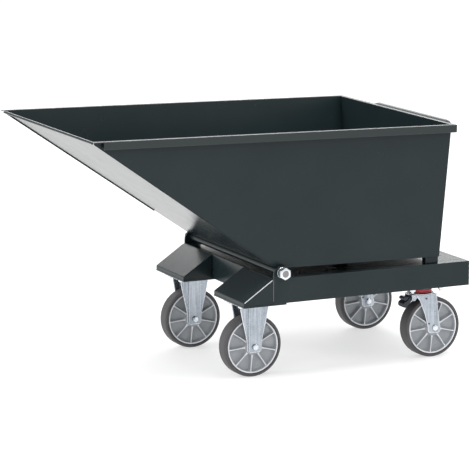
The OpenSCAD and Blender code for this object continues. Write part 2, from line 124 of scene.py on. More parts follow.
def bump(tree, shader, layers):
    """Stacks (height, strength, distance) layers of bump on the shader's normal."""
    previous = None
    for height, strength, distance in layers:
        node = tree.nodes.new("ShaderNodeBump")
        node.inputs["Strength"].default_value = strength
        node.inputs["Distance"].default_value = distance
        tree.links.new(height, node.inputs["Height"])
        if previous is not None:
            tree.links.new(previous, node.inputs["Normal"])
        previous = node.outputs["Normal"]
    tree.links.new(previous, shader.inputs["Normal"])


def edge_mask(tree, radius, low=0.75, high=0.97):
    """1 where the surface turns sharply within the radius, 0 on flats."""
    bevel = tree.nodes.new("ShaderNodeBevel")
    bevel.samples = 4
    bevel.inputs["Radius"].default_value = radius
    geometry = tree.nodes.new("ShaderNodeNewGeometry")
    dot = tree.nodes.new("ShaderNodeVectorMath")
    dot.operation = "DOT_PRODUCT"
    tree.links.new(bevel.outputs["Normal"], dot.inputs[0])
    tree.links.new(geometry.outputs["Normal"], dot.inputs[1])
    return remap(tree, dot.outputs["Value"], 1.0, 0.0, low, high)


def multiply(tree, a, b):
    """The product of two factors."""
    node = tree.nodes.new("ShaderNodeMath")
    node.operation = "MULTIPLY"
    tree.links.new(a, node.inputs[0])
    tree.links.new(b, node.inputs[1])
    return node.outputs["Value"]


# colours of the painted shade in creases, on paint and on zinc
PAINTED_SHADE_PAINT, PAINTED_SHADE_ZINC = (0.006, 0.011, 0.0125), (0.10, 0.13, 0.17)


def crease_shade(tree, colour, reach, samples, occlusion, most, shade):
    """Darkens a colour in creases as painted shade; occlusion is the open share from which it starts."""
    crease = tree.nodes.new("ShaderNodeAmbientOcclusion")
    crease.samples = samples
    crease.inputs["Distance"].default_value = reach
    return mix(tree, remap(tree, crease.outputs["AO"], occlusion, 0.0, 0.35, most), colour, shade)


def paint(name, dark, light, rough, edge, wave_height=0.0006, ior=1.5, peel_strength=0.10, smudges=0.04):
    """Powder coat: orange peel, cloudy gloss, a little dust, edges lighter as rubbed wear and painted
    highlight, creases darker as painted shade.
    """
    mat, tree, shader, coords = new_material(name)
    cloud = noise(tree, coords, 5.0, 5.0)
    colour = ramp(tree, cloud, [(0.3, dark), (0.7, light)])
    patchy = noise(tree, coords, 60.0, 4.0)
    # edges lightened: partly rubbed wear, partly painted highlight
    amount = multiply(tree, edge_mask(tree, 0.0022), remap(tree, patchy, 0.25, 0.9))
    colour = mix(tree, amount, colour, edge)
    # painted shade: darker in creases
    colour = crease_shade(tree, colour, 0.03, 6, 0.85, 0.95, PAINTED_SHADE_PAINT)
    tree.links.new(colour, shader.inputs["Base Color"])
    smudge = noise(tree, coords, 14.0, 6.0, 0.6)
    tree.links.new(remap(tree, smudge, rough - smudges, rough + smudges), shader.inputs["Roughness"])
    peel = noise(tree, coords, 420.0, 2.0)
    wave = noise(tree, coords, 6.0, 1.0)
    layers = [(wave, 0.10, wave_height)] if wave_height else []
    bump(tree, shader, layers + [(peel, peel_strength or 0.01, 0.00006 if peel_strength else 0.00001)])
    shader.inputs["IOR"].default_value = ior
    return mat


def zinc(name, dark, light, edge, rough):
    """Zinc plate: bluish, cloudy, with fine drawn streaks, edges lightened as painted highlight and creases
    darkened as painted shade.
    """
    mat, tree, shader, coords = new_material(name)
    cloud = noise(tree, coords, 34.0, 5.0, 0.6)
    streak = noise(tree, coords, 150.0, 3.0, 0.5, (1.0, 1.0, 0.06))
    tint = ramp(tree, cloud, [(0.3, dark), (0.72, light)])
    colour = mix(tree, remap(tree, streak, 0.0, 0.25), tint, edge)
    # painted highlight: edges lightened to the edge colour
    colour = mix(tree, edge_mask(tree, 0.0030, 0.75, 0.98), colour, edge)
    # painted shade: darker in creases
    colour = crease_shade(tree, colour, 0.008, 4, 0.75, 0.85, PAINTED_SHADE_ZINC)
    tree.links.new(colour, shader.inputs["Base Color"])
    shader.inputs["Metallic"].default_value = 0.95
    tree.links.new(remap(tree, cloud, rough - 0.05, rough + 0.09), shader.inputs["Roughness"])
    bump(tree, shader, [(streak, 0.10, 0.0002), (cloud, 0.08, 0.0005)])
    return mat


def rubber(name):
    """Grey tyre rubber: dusty patches and a fine grain."""
    mat, tree, shader, coords = new_material(name)
    dusty = noise(tree, coords, 22.0, 6.0, 0.65)
    colour = ramp(tree, dusty, [(0.3, (0.058, 0.055, 0.058)), (0.72, (0.094, 0.090, 0.095))])
    tree.links.new(colour, shader.inputs["Base Color"])
    tree.links.new(remap(tree, dusty, 0.48, 0.66), shader.inputs["Roughness"])
    grain = noise(tree, coords, 900.0, 3.0)
    bump(tree, shader, [(grain, 0.25, 0.0002)])
    shader.inputs["Specular IOR Level"].default_value = 0.4
    return mat


def plastic(name, dark, light, rough, grain_scale=500.0, grain=0.10, edge=None, radius=0.0015):
    """Moulded plastic or a thick coat: cloudy, grained, with edges painted paler as highlight if asked."""
    mat, tree, shader, coords = new_material(name)
    cloud = noise(tree, coords, 30.0, 5.0, 0.6)
    colour = ramp(tree, cloud, [(0.3, dark), (0.7, light)])
    if edge:
        colour = mix(tree, edge_mask(tree, radius, 0.55, 0.97), colour, edge)
    tree.links.new(colour, shader.inputs["Base Color"])
    tree.links.new(remap(tree, cloud, rough - 0.05, rough + 0.08), shader.inputs["Roughness"])
    fine = noise(tree, coords, grain_scale, 3.0)
    bump(tree, shader, [(fine, grain, 0.0002)])
    return mat


DARK, LIGHT, WEAR_AND_HIGHLIGHT = (0.0115, 0.0195, 0.0215), (0.0145, 0.0235, 0.0258), (0.13, 0.145, 0.15)
PAINT = paint("anthracite_paint", DARK, LIGHT, 0.24, WEAR_AND_HIGHLIGHT, ior=1.30)
GLOSS = paint("anthracite_spout", DARK, LIGHT, 0.22, WEAR_AND_HIGHLIGHT, 0.0, 1.36, 0.0, 0.012)
# rim paint: glossier, and its edge colour lightens the flange edges as painted highlight
RIM_PAINT = paint("anthracite_rim", (0.009, 0.016, 0.0175), (0.012, 0.019, 0.021), 0.13,
                  (0.15, 0.16, 0.165), 0.0001, 1.5)
BAR_PAINT = paint("anthracite_handle", DARK, LIGHT, 0.26, WEAR_AND_HIGHLIGHT, 0.0001, 1.22)
WELD = paint("painted_weld", (0.025, 0.035, 0.037), (0.13, 0.145, 0.15), 0.25, (0.26, 0.28, 0.29))
# pale paint for the strips that are painted highlights along the foot covers' sloped edges
EDGE_HIGHLIGHT_PAINT = paint("painted_edge_highlight", (0.30, 0.32, 0.33), (0.75, 0.77, 0.78), 0.35, (0.9, 0.9, 0.9))
ZINC = zinc("zinc", (0.215, 0.245, 0.285), (0.36, 0.40, 0.45), (0.90, 0.93, 0.97), 0.22)
BRIGHT = zinc("bright_zinc", (0.60, 0.64, 0.70), (0.80, 0.84, 0.88), (0.94, 0.96, 0.98), 0.20)
TURNED = zinc("turned_steel", (0.20, 0.195, 0.20), (0.28, 0.27, 0.275), (0.42, 0.42, 0.43), 0.42)
RUBBER = rubber("tyre_rubber")
# wheel plastic with its edges painted paler as highlight
GREY = plastic("wheel_plastic", (0.29, 0.305, 0.325), (0.35, 0.368, 0.390), 0.34, edge=(0.80, 0.82, 0.85))
# a lighter copy of the wheel plastic: painted highlight on the ring and rib crests
WHEEL_HIGHLIGHT = plastic("wheel_painted_highlight", (0.62, 0.64, 0.67), (0.74, 0.76, 0.79), 0.3, edge=(0.95, 0.96, 0.97))
BUSH = plastic("bush_plastic", (0.06, 0.06, 0.065), (0.09, 0.09, 0.095), 0.42)
RED = plastic("seal_plastic", (0.36, 0.030, 0.036), (0.47, 0.050, 0.055), 0.38)
NAVY = plastic("pedal_paint", (0.003, 0.007, 0.018), (0.006, 0.012, 0.028), 0.2, 300.0, 0.06)
BY_SLOT = {
    "painted_steel": PAINT, "spout_paint": GLOSS, "zinc_plate": ZINC, "rubber": RUBBER,
    "wheel_grey": GREY, "bush_grey": BUSH, "seal_red": RED, "brake_black": NAVY,
}

# ---------------------------------------------------------------- mesh building


class Shape:
    """Collects vertices and faces in millimetres, in a local frame."""

    def __init__(self):
        self.points, self.faces, self.light = [], [], set()

    def grid(self, rows, close_rows=False, close_columns=False, light=None):
        """Quads between rows of points; light(i, j) says which take the piece's second material, the lighter
        one painted as highlight.
        """
        base, width = len(self.points), len(rows[0])
        for row in rows:
            self.points.extend(row)
        last_row = len(rows) if close_rows else len(rows) - 1
        last_column = width if close_columns else width - 1
        for i in range(last_row):
            for j in range(last_column):
                a, b = i * width + j, i * width + (j + 1) % width
                k = (i + 1) % len(rows)
                c, d = k * width + (j + 1) % width, k * width + j
                if light and light(i, j):
                    self.light.add(len(self.faces))
                self.faces.append([base + v for v in (a, b, c, d)])
        return self

    def lathe(self, profile, segments=96, centre=(0, 0, 0), axis="Y", closed=True, light=None):
        """Turns (radius, height) points round the axis."""
        rows = []
        for radius, height in profile:
            row = []
            for k in range(segments):
                a = 2 * math.pi * k / segments
                u, v = radius * math.cos(a), radius * math.sin(a)
                p = (u, height, v) if axis == "Y" else (u, v, height)
                row.append(tuple(p[i] + centre[i] for i in range(3)))
            rows.append(row)
        return self.grid(rows, close_rows=closed, close_columns=True, light=light)

    def prism(self, outline, low, high, axis="Y"):
        """Extrudes an outline of (x, z) along Y, or (x, y) along Z."""
        base, n = len(self.points), len(outline)
        for h in (low, high):
            for u, v in outline:
                self.points.append((u, h, v) if axis == "Y" else (u, v, h))
        self.faces.append([base + i for i in range(n)])
        self.faces.append([base + n + i for i in reversed(range(n))])
        for i in range(n):
            j = (i + 1) % n
            self.faces.append([base + j, base + i, base + n + i, base + n + j])
        return self

    def hexagon(self, flats, low, high, hole=0.0, centre=(0, 0, 0), axis="Y", turn=30.0, both=False):
        """A nut or bolt head with chamfered corners on its high side, or on both."""
        segments, ring = 72, flats * 0.475
        sign = 1.0 if high > low else -1.0

        def radius(k):
            a = math.radians((360.0 * k / segments) % 60.0 - 30.0)
            return flats / 2 / math.cos(a)

        def loop(radii, heights):
            row = []
            for k in range(segments):
                a = math.radians(360.0 * k / segments + turn)
                u, v = radii(k) * math.cos(a), radii(k) * math.sin(a)
                h = heights(k)
                p = (u, h, v) if axis == "Y" else (u, v, h)
                row.append(tuple(p[i] + centre[i] for i in range(3)))
            return row

        def slope(k):
            return (radius(k) - ring) * math.tan(math.radians(28))

        rows = [loop(lambda k: hole, lambda k: low)]
        if both:
            rows += [loop(lambda k: ring, lambda k: low), loop(radius, lambda k: low + sign * slope(k))]
        else:
            rows += [loop(radius, lambda k: low)]
        rows += [loop(radius, lambda k: high - sign * slope(k)), loop(lambda k: ring, lambda k: high)]
        inner = max(hole, 0.01)
        rows += [loop(lambda k: inner + 0.8, lambda k: high)]
        rows += [loop(lambda k: hole, lambda k: high - sign * 0.8)]
        return self.grid(rows, close_rows=hole > 0, close_columns=True)

    def sweep(self, path, radius, segments=28):
        """A round bar along a path, with flat ends."""
        path = [Vector(p) for p in path]
        rows, side = [], None
        for i, p in enumerate(path):
            ahead = (path[min(i + 1, len(path) - 1)] - path[max(i - 1, 0)]).normalized()
            if side is None:
                side = ahead.orthogonal().normalized()
            side = (side - ahead * side.dot(ahead)).normalized()
            up = ahead.cross(side)
            r = radius(i) if callable(radius) else radius
            rows.append([
                tuple(p + side * r * math.cos(t) + up * r * math.sin(t))
                for t in (2 * math.pi * k / segments for k in range(segments))
            ])
        base = len(self.points)
        self.grid(rows, close_columns=True)
        self.faces.append([base + k for k in reversed(range(segments))])
        self.faces.append([base + (len(rows) - 1) * segments + k for k in range(segments)])
        return self

    def make(self, name, at, body, slot, replaces=(), bevel=None, sharp=32.0, material=None,
             second=None):
        """Makes the piece: at is a point in metres or a matrix; bevel is (width in mm, segments)."""
        bm = bmesh.new()
        made = [bm.verts.new(p) for p in self.points]
        for number, face in enumerate(self.faces):
            ring = [made[i] for i in dict.fromkeys(face)]
            if len(ring) > 2 and bm.faces.get(ring) is None:
                bm.faces.new(ring).material_index = int(number in self.light)
        bmesh.ops.remove_doubles(bm, verts=bm.verts, dist=0.002)
        bmesh.ops.dissolve_degenerate(bm, dist=0.001, edges=bm.edges)
        bmesh.ops.recalc_face_normals(bm, faces=bm.faces)
        place = at if isinstance(at, Matrix) else Matrix.Translation(at)
        bm.transform(place @ Matrix.Scale(MM, 4))
        mesh = bpy.data.meshes.new(name)
        bm.to_mesh(mesh)
        bm.free()
        piece = bpy.data.objects.new(name, mesh)
        bpy.context.scene.collection.objects.link(piece)
        mesh.materials.append(material or BY_SLOT[slot])
        if second:
            mesh.materials.append(second)
        mesh.shade_smooth()
        if bevel:
            soften(piece, *bevel)
        else:
            mesh.set_sharp_from_angle(angle=math.radians(sharp))
        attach(piece, body)
        if replaces:
            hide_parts(*replaces)
        return piece


def pressed_sheet(shape, rows, sign):
    """A sheet between rows of points and the same rows moved inward, closed all round."""
    inner = [[(x, y - sign * SHEET_BACK, z) for x, y, z in row] for row in rows]
    base, width, height = len(shape.points), len(rows[0]), len(rows)
    offset = width * height
    shape.grid(rows)
    shape.grid(inner)
    for j in range(width - 1):
        for i in (0, height - 1):
            a = base + i * width + j
            shape.faces.append([a, a + 1, a + 1 + offset, a + offset])
    for i in range(height - 1):
        for j in (0, width - 1):
            a = base + i * width + j
            shape.faces.append([a, a + width, a + width + offset, a + offset])


def soften(piece, width, segments=3, angle=28.0):
    """Rounds the sharp edges by a width in millimetres."""
    edge = piece.modifiers.new("edges", "BEVEL")
    edge.width = width * MM
    edge.segments = segments
    edge.limit_method = "ANGLE"
    edge.angle_limit = math.radians(angle)
    edge.harden_normals = True
    edge.use_clamp_overlap = True
    edge.miter_outer = "MITER_ARC"


def dress(node, slot, bevel=None, material=None):
    """Keeps a CAD node, with its finish and softened edges."""
    piece = NODES[node]
    for holder in piece.material_slots:
        holder.material = material or BY_SLOT[slot]
    if not piece.material_slots:
        piece.data.materials.append(material or BY_SLOT[slot])
    if bevel:
        weld = piece.modifiers.new("join", "WELD")
        weld.merge_threshold = 0.00002
        flat = piece.modifiers.new("flat_faces", "DECIMATE")
        flat.decimate_type = "DISSOLVE"
        flat.angle_limit = math.radians(0.5)
        soften(piece, *bevel)
    return piece


def arc(cx, cy, r, start, end, steps=6):
    """Points of an arc, by angles in degrees."""
    return [
        (cx + r * math.cos(math.radians(a)), cy + r * math.sin(math.radians(a)))
        for a in (start + (end - start) * k / steps for k in range(steps + 1))
    ]


def rounded_outline(half_x, half_y, r):
    """A rectangle's outline with corners of radius r."""
    corners = ((1, 1, 0), (-1, 1, 90), (-1, -1, 180), (1, -1, 270))
    outline = []
    for sx, sy, start in corners:
        outline += arc(sx * (half_x - r), sy * (half_y - r), r, start, start + 90, 5)
    return outline


# ---------------------------------------------------------------- chassis and skip sheets

for node in ("rail_left", "rail_right", "front_cross_tube", "rear_cross_tube"):
    dress(node, "painted_steel", (3.0, 4))
for node in ("chassis_deck", "rear_base_plate", "foot_base_left", "foot_base_right", "rest_block_left",
             "rest_block_right"):
    dress(node, "painted_steel", (0.9, 3))
for node in ("foot_cover_left", "foot_cover_right"):
    dress(node, "painted_steel", (2.4, 4))
for node in ("pivot_ear_left", "pivot_ear_right"):
    dress(node, "painted_steel", (1.0, 3))
for node in ("side_sheet_left", "side_sheet_right", "floor_sheet", "rear_sheet"):
    dress(node, "painted_steel", (0.8, 2))
dress("spout_sheet", "spout_paint", (0.8, 2))
for node in ("rim_left", "rim_right", "rim_rear"):
    dress(node, "painted_steel", (1.4, 3), RIM_PAINT)
dress("pivot_tube", "painted_steel")
dress("push_handle", "painted_steel", material=BAR_PAINT)
dress("pivot_shaft", "zinc_plate", (0.8, 2), TURNED)
for side, _ in SIDES:
    for node in ("front_bush", "rear_bush"):
        dress(f"{node}_{side}", "bush_grey")
    dress(f"kingpin_{side}", "zinc_plate", (0.6, 2))

# ---------------------------------------------------------------- hems, sheet laps and welds

tip_lo, tip_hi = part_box("spout_sheet")
TIP = Vector((tip_lo.x, 0.0, tip_hi.z))
tip_half = tip_hi.y / MM
run, rise = (tip_hi.x - tip_lo.x) / MM, (tip_hi.z - tip_lo.z) / MM
spout_long = math.hypot(run, rise)
ux, uz = run / spout_long, -rise / spout_long


def on_spout(s, n):
    """A point s mm down the spout from its tip and n mm out of its underside."""
    return (ux * s + uz * n, uz * s - ux * n)


HEM = ((3.8, -0.4), (3.8, 4.6), (4.6, 5.4), (9.0, 5.4), (10.0, 4.4), (10.0, -0.4))
hem = Shape().prism([on_spout(s, n) for s, n in HEM], -tip_half + 4, tip_half - 4)
hem.make("spout_hem", TIP, "skip", "painted_steel", bevel=(0.8, 3))

laps = Shape()
corner_half = abs(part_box("floor_sheet")[1].y) / MM
for sign, reach in ((-1, 0.985), (1, 0.80)):
    ring = []
    for s, t in ((12.0, 0.0), (reach * spout_long, reach)):
        edge_y = tip_half + (corner_half - tip_half) * t
        for y in (edge_y - 3.4, edge_y - 0.2):
            for n in (-0.4, 3.6):
                x, z = on_spout(s, n)
                ring.append((x, sign * y, z))
    base = len(laps.points)
    laps.points += ring
    for quad in ((0, 1, 3, 2), (4, 6, 7, 5), (0, 4, 5, 1), (2, 3, 7, 6), (1, 5, 7, 3), (0, 2, 6, 4)):
        laps.faces.append([base + v for v in quad])
laps.make("spout_side_laps", TIP, "skip", "painted_steel", bevel=(0.7, 2))


def bead(shape, start, end, radius, pitch=3.2):
    """A weld bead with its ripples."""
    start, end = Vector(start), Vector(end)
    steps = max(8, int((end - start).length / pitch * 4))
    path = [start.lerp(end, k / steps) for k in range(steps + 1)]

    def ripple(i):
        fade = min(1.0, 0.45 + i / 5.0, 0.45 + (steps - i) / 5.0)
        return radius * fade * (1.0 + 0.10 * math.cos(math.pi / 2 * i) + 0.05 * math.sin(i * 1.7))

    return shape.sweep(path, ripple, 14)


welds, seams = Shape(), Shape()
for side, sign in SIDES:
    ear_lo, ear_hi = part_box(f"pivot_ear_{side}")
    cover_lo, cover_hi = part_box(f"foot_cover_{side}")
    face = max(abs(ear_lo.y), abs(ear_hi.y)) / MM
    x = ear_lo.x / MM
    y = sign * (face - 0.3)
    bead(welds, (x - 0.4, y, cover_lo.z / MM + 8), (x - 0.4, y, cover_hi.z / MM - 1), 1.6)
    x = ear_hi.x / MM + 0.3
    bead(seams, (x, y, ear_lo.z / MM + 8), (x, y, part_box("rail_left")[1].z / MM - 3), 0.9)
# painted highlight: pale round strips along the foot covers' sloped edges
edges = Shape()
for side, sign in SIDES:
    cover_lo, cover_hi = (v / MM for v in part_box(f"foot_cover_{side}"))
    y = (cover_lo.y if sign < 0 else cover_hi.y) - sign * 0.9
    edges.sweep([(cover_lo.x + 3.0, y, cover_lo.z + 12.0), (cover_hi.x - 4.0, y, cover_hi.z - 3.2)], 1.5, 12)
edges.make("foot_edge_highlight_strips", ORIGIN, "chassis", "painted_steel", material=EDGE_HIGHLIGHT_PAINT)
welds.make("chassis_welds", ORIGIN, "chassis", "painted_steel", sharp=60, material=WELD)
seams.make("chassis_seams", ORIGIN, "chassis", "painted_steel", sharp=60)

# ---------------------------------------------------------------- pivot hardware

PIVOT = JOINT["skip_tip"]
ear_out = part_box("pivot_ear_right")[1].y / MM
nut_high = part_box("pivot_nuts")[1].y / MM
NUT_T, WASHER_T, WASHER_R = 8.0, 2.0, 17.0
pivot_at = Vector((PIVOT.x, 0.0, PIVOT.z))
nuts, washers = Shape(), Shape()
for sign in (-1, 1):
    nuts.hexagon(34.0, sign * (nut_high - NUT_T), sign * nut_high, hole=10.02, both=True)
    section = ((10.1, 0.0), (WASHER_R - 0.4, 0.0), (WASHER_R, 0.4), (WASHER_R, WASHER_T - 0.4),
               (WASHER_R - 0.4, WASHER_T), (10.1, WASHER_T))
    washers.lathe([(r, sign * (ear_out + h)) for r, h in section])
nuts.make("pivot_nut_pair", pivot_at, "chassis", "zinc_plate", ("pivot_nuts",), material=BRIGHT)
washers.make("pivot_washer_pair", pivot_at, "chassis", "zinc_plate", ("pivot_washers",), material=BRIGHT)

# ---------------------------------------------------------------- wheels

RIB_START, RIBS = -14.6, 9


def tyre_profile():
    """Half-round shoulders, a shadow groove at the ring, and the mould line round the tread."""
    half = [(88.0, 20.5), (89.6, 20.5), (90.4, 21.4), (90.6, 24.4), (91.1, 25.0), (92.2, 25.0), (92.8, 24.6)]
    half += [(93.3 + 6.5 * math.sin(math.radians(a)), 18.4 + 6.5 * math.cos(math.radians(a)))
             for a in (6, 20, 34, 48, 62, 76, 88)]
    half += [(99.85, 17.6), (99.45, 17.2), (99.45, 16.7), (99.9, 16.2), (99.97, 8.0), (100.0, 0.0)]
    return half + [(r, -h) for r, h in reversed(half[:-1])]


def centre_profile():
    """Ring, dished web and hub, as (radius, height) points."""
    half = [(88.0, 22.6), (87.6, 23.6), (86.8, 24.0), (84.6, 24.0), (83.7, 23.5), (83.2, 22.4),
            (81.8, 17.5), (80.6, 12.0), (79.4, 9.6), (77.4, 8.4), (74.5, 8.0), (60.0, 7.6), (44.0, 7.6),
            (38.0, 8.2), (34.0, 9.6), (31.4, 12.2), (29.8, 16.0), (28.6, 22.0), (27.6, 26.6),
            (26.6, 28.2), (25.0, 29.0), (16.2, 29.0), (15.0, 28.0)]
    return half + [(r, -h) for r, h in reversed(half)]


def rib(shape, angle, sign):
    """One drafted rib from the hub to the ring, on one face of the web; its crest faces are painted lighter
    as highlight.
    """
    rows = []
    for k in range(13):
        t = k / 12
        r = 26.5 + t * 56.5
        flare = 1 + 1.3 * max(0.0, 1 - t / 0.34) ** 1.5 + 0.45 * max(0.0, (t - 0.86) / 0.14) ** 1.5
        top = 23.4 - 2.4 * t
        row = []
        for half_width, height in ((6.6, 7.0), (4.6, 8.8), (3.3, 12.0), (2.4, 16.5), (1.7, top - 1.0),
                                   (1.0, top - 0.15), (0.0, top)):
            row.append((half_width * flare, height))
        full = row + [(-w, h) for w, h in reversed(row[:-1])]
        a = math.radians(angle)
        rows.append([
            (r * math.cos(a) - w * math.sin(a), sign * h, r * math.sin(a) + w * math.cos(a)) for w, h in full
        ])
    last = len(rows[0]) - 1
    # crest faces take the painted-highlight material
    shape.grid(rows, light=lambda i, j: 4 <= j <= last - 5)


def wheel(prefix, side, at, body):
    """Tyre, and wheel centre with its ribs and moulding pips; the ring and rib crests are painted lighter as
    highlight.
    """
    Shape().lathe(tyre_profile(), 144).make(
        f"{prefix}_tyre_{side}_rubber", at, body, "rubber", (f"{prefix}_tyre_{side}",))
    outline = centre_profile()
    # ring faces take the painted-highlight material
    centre = Shape().lathe(outline, 144, light=lambda i, j: outline[i][0] > 82.5 and abs(outline[i][1]) > 22)
    for face in (-1, 1):
        for k in range(RIBS):
            rib(centre, RIB_START + 360.0 / RIBS * k, face)
        a = math.radians(-71.0)
        pip = [(0.01, face * 10.4), (2.0, face * 10.4), (2.9, face * 9.8), (3.3, face * 7.0)]
        centre.lathe(pip, 20, (68 * math.cos(a), 0, 68 * math.sin(a)), closed=False)
    centre.make(f"{prefix}_centre_{side}_moulding", at, body, "wheel_grey", (f"{prefix}_centre_{side}",),
                sharp=40, second=WHEEL_HIGHLIGHT)


for side, _ in SIDES:
    wheel("front", side, JOINT[f"front_wheel_{side}_spin"], f"front_wheel_{side}")
    wheel("rear", side, JOINT[f"rear_wheel_{side}_spin"], f"rear_wheel_{side}")


def axle(prefix, side, at, body, face):
    """Sleeve, bolt head, and nut with the bolt's end; face is the leg's outer face."""
    shape = Shape().lathe([(6.0, -29.9), (10.0, -29.9), (10.0, 29.9), (6.0, 29.9)], 64)
    shape.lathe([(0.01, -face - 5.5), (0.01, face + 8.5), (6.0, face + 8.5), (6.0, -face - 5.5)], 48)
    shape.hexagon(17.0, -face, -face - 7.0)
    shape.hexagon(17.0, face, face + 7.0, hole=6.0)
    tip = [(0.01, face + 10.6), (5.1, face + 10.6), (6.0, face + 9.7), (6.0, face + 6.0)]
    shape.lathe(tip, 48, closed=False)
    shape.make(f"{prefix}_axle_{side}_bolt", at, body, "zinc_plate", (f"{prefix}_axle_{side}",), sharp=30,
               material=BRIGHT)


# ---------------------------------------------------------------- castor frames

LEG_GAP, LEG_T, PLATE_T = 60.0, 4.0, 4.0
LEG_OUT = LEG_GAP / 2 + LEG_T
SHEET_BACK = 3.6
CHANNEL_RAISE = 5.2
PLATE_HALF = (70, 55)
STUD_X, STUD_Y = 52.5, 43.0
CASTOR_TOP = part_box("fixed_bracket_left")[1].z / MM
AXLE_Z = JOINT["front_wheel_left_spin"].z / MM
PLATE_LOW = CASTOR_TOP - PLATE_T - AXLE_Z


def outline_edge(shape, rows, inward):
    """A rolled edge in bright zinc round a pressed leg, lighter as painted highlight: down one side, across
    the foot, up the other.
    """
    down = [row[0] for row in rows]
    across = [rows[-1][j] for j in range(1, len(rows[-1]) - 1)]
    up = [row[-1] for row in reversed(rows)]
    path = [Vector(p) + Vector((0, inward, 0)) for p in down + across + up]
    keep = [path[0]]
    for p in path[1:]:
        if (p - keep[-1]).length > 1.2:
            keep.append(p)
    shape.sweep(keep, 1.5, 12)


def fixed_leg(shape, trim, sign):
    """Pressed leg: a raised channel of constant width between tapering wings."""
    foot = -17.0
    levels = [(PLATE_LOW, 50.5), (PLATE_LOW - 16, 48.6), (PLATE_LOW - 30, 45.6), (78.0, 38.9), (48.0, 31.6),
              (20.0, 25.8), (8.0, 24.5), (-6.0, 24.4), (foot + 6, 23.9), (foot + 2.4, 21.6), (foot, 18.4)]
    rows = []
    for z, half in levels:
        channel = min(23.0, half - 0.6)
        profile = [(-half, 0.9), (-half + 0.9, 0.0), (-channel - 2.4, 0.0), (-channel - 1.2, 0.8),
                   (-channel + 0.2, CHANNEL_RAISE - 0.8), (-channel + 1.6, CHANNEL_RAISE),
                   (0.0, CHANNEL_RAISE)]
        profile += [(-x, d) for x, d in reversed(profile[:-1])]
        clipped = [(max(-half, min(half, x)), d) for x, d in profile]
        rows.append([(x, sign * (LEG_OUT - 0.4 + d), z) for x, d in clipped])
    outline_edge(trim, rows[1:], -sign * 1.6)
    pressed_sheet(shape, rows, sign)


for side, sign in SIDES:
    at = JOINT[f"front_wheel_{side}_spin"]
    legs, trim = Shape(), Shape()
    fixed_leg(legs, trim, -1)
    fixed_leg(legs, trim, 1)
    # bright zinc edge trims: painted highlight
    trim.make(f"fixed_bracket_{side}_edge_highlights", at, "chassis", "zinc_plate", (f"fixed_bracket_{side}",),
              material=BRIGHT)
    legs.make(f"fixed_bracket_{side}_legs", at, "chassis", "zinc_plate", (f"fixed_bracket_{side}",),
              bevel=(0.7, 2))
    plate = Shape().prism(rounded_outline(*PLATE_HALF, 8), PLATE_LOW, PLATE_LOW + PLATE_T, "Z")
    plate.make(f"fixed_bracket_{side}_plate", at, "chassis", "zinc_plate", (f"fixed_bracket_{side}",),
               bevel=(0.7, 2))
    axle("front", side, at, "chassis", LEG_OUT + 4.8)


def fork_leg(shape, trim, sign):
    """Swivel leg: a flat rear panel and a front web folded towards the wheel."""
    levels = [(114.0, -63.5, -24.0, 7.0), (106.0, -61.0, -24.0, 7.2), (94.0, -51.0, -23.0, 8.2),
              (72.0, -42.5, -22.5, 10.8), (46.0, -33.0, -22.0, 14.0), (20.0, -26.0, -21.0, 17.6),
              (4.0, -22.2, -20.8, 20.4), (-8.0, -21.6, -20.4, 22.0), (-12.5, -20.4, -19.4, 21.6),
              (-17.0, -15.6, -14.0, 16.0)]
    rows = []
    for z, front, fold, rear in levels:
        lean = min(6.0, 0.6 + 0.17 * (fold - front))
        ridge = fold + 0.30 * (rear - fold)
        profile = [(front, -lean - 0.9), (front + 0.9, -lean), (ridge - 2.4, -0.9), (ridge, 0.2),
                   (ridge + 1.6, 0.9), ((ridge + rear) / 2 + 1.0, 0.5), (rear - 1.0, 0.25), (rear, -0.6)]
        rows.append([(x, sign * (LEG_OUT - 0.25 + d), z) for x, d in profile])
    outline_edge(trim, rows, -sign * 1.4)
    pressed_sheet(shape, rows, sign)


